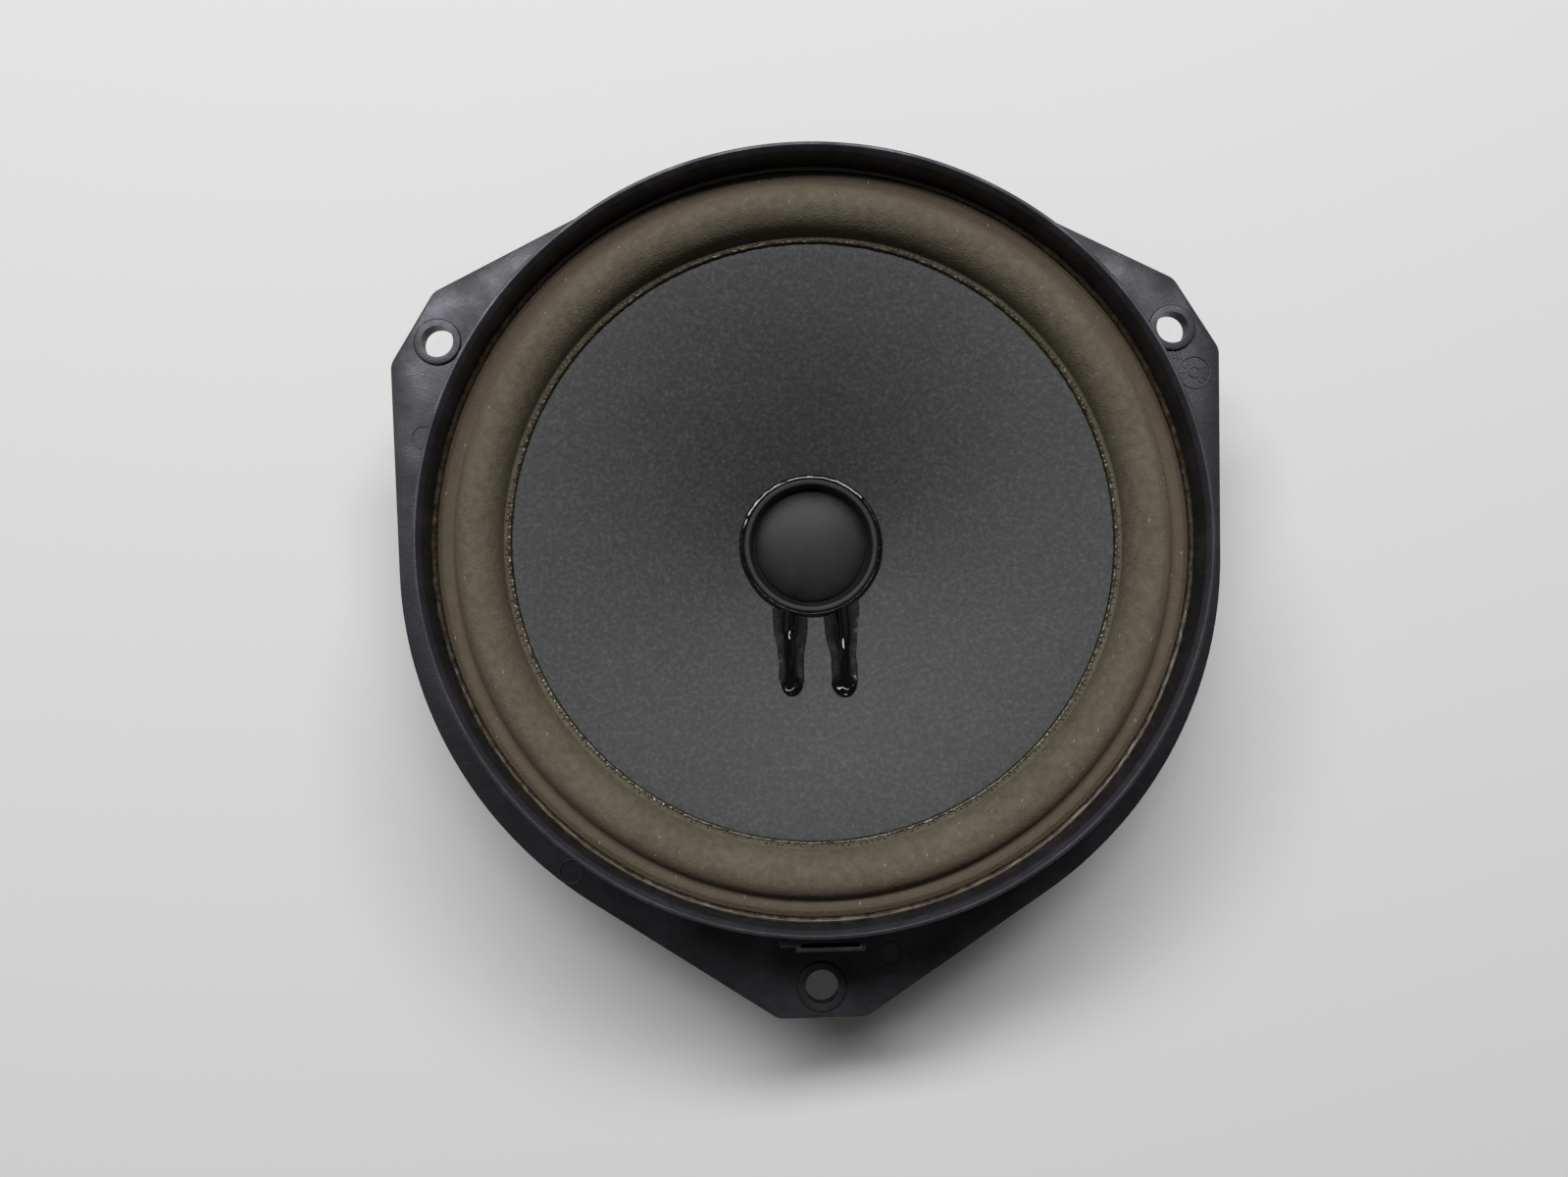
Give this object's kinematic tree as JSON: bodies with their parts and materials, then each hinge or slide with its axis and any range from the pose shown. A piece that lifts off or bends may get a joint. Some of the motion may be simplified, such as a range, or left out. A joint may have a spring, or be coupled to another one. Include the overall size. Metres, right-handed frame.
{
  "type": "car door loudspeaker",
  "caption": "Shallow paper-cone door loudspeaker in a tall-rimmed moulded basket with three screw ears, foam surround, ferrite motor and blade terminals.",
  "frame": {"origin": "centre of the three ear holes' circle, on the flange's rear face", "axes": "+Z along the cone's axis towards the listener, -Y towards the single lower ear, +X to the listener's right"},
  "size_m": [0.1688, 0.175, 0.0613],
  "materials": {
    "basket_plastic": "moulded glass-filled black plastic, fine grain",
    "surround_foam": "open-celled foam, matt grey olive",
    "amber_glue": "dried yellow contact glue, partly glossy",
    "cone_paper": "pressed grey-black paper pulp, matt",
    "cap_felt": "dark impregnated cloth, satin",
    "black_glue": "glossy black glue",
    "former_paper": "brown kraft paper tube",
    "copper_wire": "enamelled copper wire",
    "eyelet_brass": "pressed brass",
    "solder_tin": "tin solder",
    "tinsel_braid": "braided copper tinsel",
    "terminal_board": "dark brown phenolic board",
    "tinned_blade": "tinned brass blade",
    "rivet_steel": "zinc-plated steel",
    "spider_cloth": "impregnated woven cloth, yellow brown",
    "brown_glue": "dried brown glue",
    "plated_steel": "yellow-chromated steel",
    "motor_glue": "dark epoxy",
    "ferrite": "ground and tumbled ferrite, dark grey"
  },
  "bodies": {
    "frame": {"basket": "basket_plastic", "surround": "surround_foam", "surround_glue": "amber_glue", "left_tinsel_lead": "tinsel_braid", "right_tinsel_lead": "tinsel_braid", "terminal_block": "terminal_board", "positive_terminal": "tinned_blade", "negative_terminal": "tinned_blade", "terminal_rivets": "rivet_steel", "spider": "spider_cloth", "spider_glue": "brown_glue", "front_plate": "plated_steel", "plate_rivets": "rivet_steel", "front_magnet_glue": "motor_glue", "magnet": "ferrite", "rear_magnet_glue": "motor_glue", "back_plate": "plated_steel", "pole_piece": "plated_steel"},
    "moving_assembly": {"cone": "cone_paper", "cone_edge_glue": "amber_glue", "dust_cap": "cap_felt", "dust_cap_glue": "black_glue", "left_lead_glue": "black_glue", "right_lead_glue": "black_glue", "coil_former": "former_paper", "voice_coil": "copper_wire", "neck_glue": "black_glue", "left_coil_lead": "copper_wire", "right_coil_lead": "copper_wire", "left_eyelet": "eyelet_brass", "right_eyelet": "eyelet_brass", "left_solder": "solder_tin", "right_solder": "solder_tin"}
  },
  "joints": [
    {"name": "cone_travel", "type": "slide", "parent": "frame", "child": "moving_assembly", "axis": [0, 0, 1], "range_m": [-0.004, 0.004], "stiffness_N_per_m": 1600, "deforming": ["surround", "spider", "left_tinsel_lead", "right_tinsel_lead"]}
  ]
}
